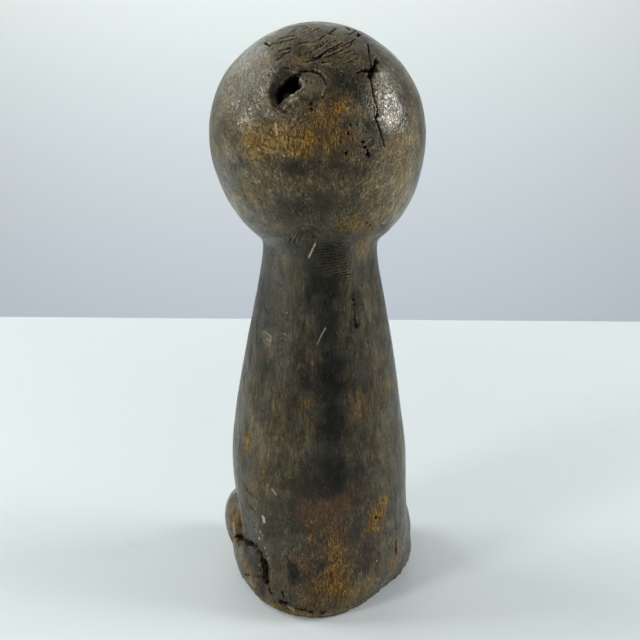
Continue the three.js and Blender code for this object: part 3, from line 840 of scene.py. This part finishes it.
# The ripples' tops, painted paler.
tone = over(times(amount_of("ripple_crests"), 0.42), tone, DUST_AND_SHEEN)
gritty = mixed(amount_of("trunk"), between(grit, 0.36, 0.64, 0.42, 1.6), between(grit, 0.3, 0.7, 0.62, 1.4))
shade = times(between(fibre, 0.32, 0.68, 0.35, 1.65), between(fleck, 0.32, 0.68, 0.6, 1.42), gritty,
              calc("MULTIPLY_ADD", amount_of("body"), -0.28, 1.0))
tone = node("VectorMath", {0: tone, "Scale": shade}, operation="SCALE").outputs[0]
tone = over(times(dark_strokes, 0.75), tone, NEAR_BLACK)
tone = over(between(fleck, 0.69, 0.76, 0, 0.2), tone, SPECK)
tone = over(between(fine_grain, 0.30, 0.44, 0.6, 0), tone, NEAR_BLACK)
tone = over(times(dots, 0.9), tone, NEAR_BLACK)
# The cuts, cracks, holes and the knot's hollow, painted black as the shade inside them.
tone = over(amount_of("black"), tone, HOLE_BLACK)
# Pale wood and drops, with painted highlight on ridges, slit lips, rims and sheens.
tone = over(amount_of("pale_and_highlight"), tone, PALE_WOOD_AND_HIGHLIGHT)

# Its gloss: oiled and handled all over, polished high on the head, and matt in soot and painted shade,
# ochre and cuts.
rough = calc("MULTIPLY_ADD", amount_of("polished"), -0.06, between(cloudy, 0.35, 0.7, 0.22, 0.38))
rough = calc("MULTIPLY_ADD", amount_of("ochre"), 0.2, rough)
rough = calc("MULTIPLY_ADD", amount_of("black"), 0.5, rough)
matt = largest(times(amount_of("ochre"), 0.65), times(amount_of("soot_and_shade"), 0.7), amount_of("black"),
               times(dark_strokes, 0.7))
glossy = calc("SUBTRACT", 1.0, matt)
shine = times(glossy, calc("MULTIPLY_ADD", amount_of("polished"), 0.45, 0.55))

# Its relief, too fine for the mesh: what each pattern lifts or sinks the surface by, in metres.
hammered = calc("MULTIPLY_ADD", amount_of("hammered"), 6.0, 1.0)
dimpled = times(calc("SUBTRACT", dimples, 0.5), hammered)
relief = [(uneven(7, (1, 1, 1.4), detail=1), 0.0009), (dimpled, 0.0003), (fibre, 0.00014)]
relief += [(dark_strokes, -0.00008), (dots, -0.0002)]
felt = None
for pattern, lift in relief:
    bump = {"Height": pattern, "Distance": lift}
    if felt is not None:
        bump["Normal"] = felt
    felt = node("Bump", bump).outputs[0]

shader = node("BsdfPrincipled", {
    "Base Color": tone,
    "Roughness": rough,
    "Normal": felt,
    "Specular IOR Level": shine,
    "Specular Tint": OILED,
    "Coat Weight": times(glossy, amount_of("polished")),
    "Coat Normal": felt,
    "Coat Roughness": 0.2,
})
node("OutputMaterial", {"Surface": shader.outputs[0]})
figure.data.materials.append(skin)
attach(figure, "root")
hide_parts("figure")

# Studio: a pale smudged table top whose far edge shows behind the figure, and a pale blue-grey wall
# beyond it that is bluer low down, a painted tint of the shade there. Narrow soft lamps at both sides give
# the head its sheen.
TABLE_BACK = -0.411
TABLE_TURN = math.radians(-1.4)
TABLE_COLOURS = ((0.70, 0.76, 0.77), (0.60, 0.61, 0.60))
WALL_COLOURS_WITH_PAINTED_SHADE = ((0.75, 0.83, 0.92), (0.78, 0.85, 0.83))
TENT_GLOW = 0.235


def smudges(tree):
    """Faint smudges, for a table top."""
    place = node("TexCoord", tree=tree).outputs["Object"]
    noise = node("TexNoise", {"Vector": place, "Scale": 14.0, "Detail": 8.0, "Roughness": 0.7}, tree)
    return node("MapRange", {"Value": noise.outputs[0], 1: 0.62, 2: 0.78, 4: 0.5}, tree).outputs[0]


def upward(tree):
    """0 low on a wall and 1 high on it."""
    place = node("TexCoord", tree=tree).outputs["Object"]
    height = node("SeparateXYZ", {0: place}, tree).outputs["Z"]
    return node("MapRange", {"Value": height, 1: -0.3, 2: 0.25}, tree).outputs[0]


def panel(name, size, place, turn, colours, pattern, roughness):
    """A board with softened edges, painted from the first colour to the second as the pattern says."""
    bpy.ops.object.select_all(action="DESELECT")
    bpy.ops.mesh.primitive_cube_add(size=1, location=place, rotation=(0, 0, turn))
    made = bpy.context.object
    made.name = name
    made.scale = size
    bpy.ops.object.transform_apply(location=True, rotation=True, scale=True)
    edge = made.modifiers.new("edge", "BEVEL")
    edge.width = 0.004
    edge.segments = 3
    bpy.ops.object.modifier_apply(modifier=edge.name)
    paint = bpy.data.materials.new(name + "_paint")
    paint.use_nodes = True
    tree = paint.node_tree
    first, second = [(*colour, 1) for colour in colours]
    shown = node("Mix", {0: pattern(tree), 6: first, 7: second}, tree, data_type="RGBA").outputs[2]
    tree.links.new(shown, tree.nodes["Principled BSDF"].inputs["Base Color"])
    tree.nodes["Principled BSDF"].inputs["Roughness"].default_value = roughness
    made.data.materials.append(paint)
    made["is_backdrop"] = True


panel("table", (3, 2.4, 0.04), (0, TABLE_BACK + 1.2, -0.02), TABLE_TURN, TABLE_COLOURS, smudges, 0.5)
panel("wall", (6, 0.04, 4), (0, -1.3, 0.6), 0, WALL_COLOURS_WITH_PAINTED_SHADE, upward, 0.9)

world = bpy.data.worlds.new("tent")
world.use_nodes = True
world.node_tree.nodes["Background"].inputs["Color"].default_value = (1, 1, 1, 1)
world.node_tree.nodes["Background"].inputs["Strength"].default_value = TENT_GLOW
bpy.context.scene.world = world


def softbox(name, way, far, width, height, power, aim=None, spread=180):
    """A soft lamp that stands that way and far from the figure's middle, and shines at it or against aim."""
    lamp = bpy.data.lights.new(name, "AREA")
    lamp.shape = "RECTANGLE"
    lamp.size = width
    lamp.size_y = height
    lamp.energy = power
    lamp.spread = math.radians(spread)
    box = bpy.data.objects.new(name, lamp)
    bpy.context.scene.collection.objects.link(box)
    way = Vector(way).normalized()
    box.location = Vector((0, 0, 0.15)) + way * far
    box.rotation_euler = Vector(aim or way).to_track_quat("Z", "Y").to_euler()
    box.visible_camera = False


softbox("front_key", (0.75, 0.6, 0.35), 1.1, 0.24, 0.16, 4.4)
softbox("left_softbox", (0.78, -0.22, 0.53), 0.95, 0.5, 0.17, 4.2)
softbox("left_fill", (0.92, -0.02, 0.34), 0.95, 0.3, 0.2, 1.2)
softbox("right_softbox", (-0.88, 0.0, 0.40), 0.95, 0.38, 0.12, 4.6)
softbox("right_fill", (-0.94, 0.23, 0.22), 0.95, 0.35, 0.13, 1.6)
softbox("wall_wash", (0.5, -0.6, 1.1), 1.5, 1.8, 0.4, 9.1, aim=(0.25, 0.6, 0.75), spread=100)

# Camera: half a metre behind the figure and a little above it, as the photograph was taken.
ACROSS_VIEW = math.radians(32)
camera = bpy.data.objects.new("camera", bpy.data.cameras.new("camera"))
bpy.context.scene.collection.objects.link(camera)
camera.location = (0, 0.503, 0.297)
camera.rotation_euler = (math.radians(71.9), 0, math.radians(180))
camera.data.lens = camera.data.sensor_width / 2 / math.tan(ACROSS_VIEW / 2)
bpy.context.scene.camera = camera
bpy.context.scene.view_settings.view_transform = "Standard"

low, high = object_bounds()
